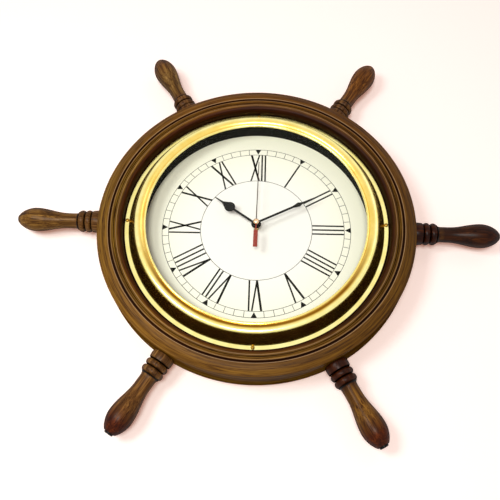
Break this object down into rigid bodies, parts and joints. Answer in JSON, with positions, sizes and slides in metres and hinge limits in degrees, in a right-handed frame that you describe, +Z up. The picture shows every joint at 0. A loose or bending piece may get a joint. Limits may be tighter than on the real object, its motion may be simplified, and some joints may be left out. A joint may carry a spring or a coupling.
{
  "type": "ship wheel wall clock",
  "caption": "Turned wooden ship's wheel with spoke handles round a brass-bezelled quartz clock dial with Roman numerals.",
  "frame": {"origin": "where the top end of the hanger bracket's slot rests on the nail, at the wall plane, above the dial's centre", "axes": "+Z up towards twelve o'clock, +Y from the dial into the wall, +X to the right seen from the front"},
  "size_m": [0.6106, 0.0558, 0.5394],
  "materials": {
    "rim_wood": "brown stain under semi-gloss lacquer",
    "handle_wood": "darker reddish stain under gloss lacquer",
    "polished_brass": "polished and lacquered",
    "clear_glass": "clear flat glass",
    "black_card": "matt black",
    "ivory_dial": "smooth ivory paint, printed black",
    "backboard_fibre": "bare fibreboard",
    "zinc_steel": "zinc plated",
    "black_plastic": "moulded, lightly textured",
    "white_nylon": "moulded nylon",
    "brass_blank": "turned and stamped, unpolished",
    "magnet": "sintered ferrite",
    "soft_iron": "stamped iron",
    "copper_wire": "enamelled copper",
    "circuit_laminate": "green solder mask",
    "nickel_strip": "nickel plated spring strip",
    "battery_sleeve": "plain plastic sleeve over a metal can",
    "black_enamel": "semi-gloss black enamel",
    "red_enamel": "semi-gloss red enamel"
  },
  "bodies": {
    "clock": {"rim_segment_1": "rim_wood", "rim_segment_2": "rim_wood", "rim_segment_3": "rim_wood", "rim_segment_4": "rim_wood", "rim_segment_5": "rim_wood", "rim_segment_6": "rim_wood", "handle_1": "handle_wood", "handle_2": "handle_wood", "handle_3": "handle_wood", "handle_4": "handle_wood", "handle_5": "handle_wood", "handle_6": "handle_wood", "brass_bezel": "polished_brass", "bezel_screw_1": "polished_brass", "bezel_screw_2": "polished_brass", "bezel_screw_3": "polished_brass", "bezel_screw_4": "polished_brass", "glass": "clear_glass", "dial_spacer": "black_card", "dial": "ivory_dial", "backboard": "backboard_fibre", "board_screw_1": "zinc_steel", "board_screw_2": "zinc_steel", "board_screw_3": "zinc_steel", "board_screw_4": "zinc_steel", "hanger_bracket": "zinc_steel", "hanger_screw_1": "zinc_steel", "hanger_screw_2": "zinc_steel", "quartz_crystal": "zinc_steel", "movement_case": "black_plastic", "movement_cover": "black_plastic", "bobbin": "white_nylon", "bush_nut": "brass_blank", "bush_washer": "brass_blank", "stator": "soft_iron", "coil_core": "soft_iron", "coil_winding": "copper_wire", "circuit_board": "circuit_laminate", "battery_contact_positive": "nickel_strip", "battery_contact_negative": "nickel_strip"},
    "seconds": {"second_hand": "red_enamel", "centre_cap": "polished_brass", "seconds_wheel": "white_nylon"},
    "intermediate": {"intermediate_wheel": "white_nylon"},
    "rotor_body": {"rotor": "magnet"},
    "third": {"third_wheel": "white_nylon"},
    "centre": {"centre_wheel": "brass_blank"},
    "minutes": {"minute_hand": "black_enamel", "cannon_pinion": "brass_blank"},
    "reverser": {"reverser_wheel": "white_nylon"},
    "hours": {"hour_hand": "black_enamel", "hour_wheel": "brass_blank"},
    "knob": {"setting_knob": "white_nylon"},
    "battery_body": {"battery": "battery_sleeve"}
  },
  "joints": [
    {"name": "second_hand_turn", "type": "hinge", "parent": "clock", "child": "seconds", "pos_m": [0, -0.0093, -0.1518], "axis": [0, 1, 0], "continuous": true},
    {"name": "intermediate_turn", "type": "hinge", "parent": "clock", "child": "intermediate", "pos_m": [-0.00945, -0.0081, -0.1518], "axis": [0, 1, 0], "continuous": true},
    {"name": "rotor_turn", "type": "hinge", "parent": "clock", "child": "rotor_body", "pos_m": [-0.01408, -0.0051, -0.14628], "axis": [0, 1, 0], "continuous": true},
    {"name": "third_turn", "type": "hinge", "parent": "clock", "child": "third", "pos_m": [0.00918, -0.0105, -0.1518], "axis": [0, 1, 0], "continuous": true},
    {"name": "centre_wheel_turn", "type": "hinge", "parent": "clock", "child": "centre", "pos_m": [0, -0.0117, -0.1518], "axis": [0, 1, 0], "continuous": true},
    {"name": "minute_hand_turn", "type": "hinge", "parent": "clock", "child": "minutes", "pos_m": [0, -0.0129, -0.1518], "axis": [0, 1, 0], "continuous": true},
    {"name": "reverser_turn", "type": "hinge", "parent": "clock", "child": "reverser", "pos_m": [0, -0.0129, -0.1438], "axis": [0, 1, 0], "continuous": true},
    {"name": "hour_hand_turn", "type": "hinge", "parent": "clock", "child": "hours", "pos_m": [0, -0.0141, -0.1518], "axis": [0, 1, 0], "continuous": true},
    {"name": "setting_knob_turn", "type": "hinge", "parent": "clock", "child": "knob", "pos_m": [0.00636, -0.0019, -0.13744], "axis": [0, 1, 0], "continuous": true},
    {"name": "battery_slide", "type": "slide", "parent": "clock", "child": "battery_body", "axis": [0, 1, 0], "range_m": [0, 0.016]}
  ],
  "couplings": [
    {"joint": "intermediate_turn", "follows": "second_hand_turn", "ratio": -6},
    {"joint": "rotor_turn", "follows": "second_hand_turn", "ratio": 30},
    {"joint": "third_turn", "follows": "second_hand_turn", "ratio": -0.13333},
    {"joint": "centre_wheel_turn", "follows": "second_hand_turn", "ratio": 0.016667},
    {"joint": "reverser_turn", "follows": "minute_hand_turn", "ratio": -0.33333},
    {"joint": "hour_hand_turn", "follows": "minute_hand_turn", "ratio": 0.083333},
    {"joint": "setting_knob_turn", "follows": "minute_hand_turn", "ratio": 0.66667}
  ]
}
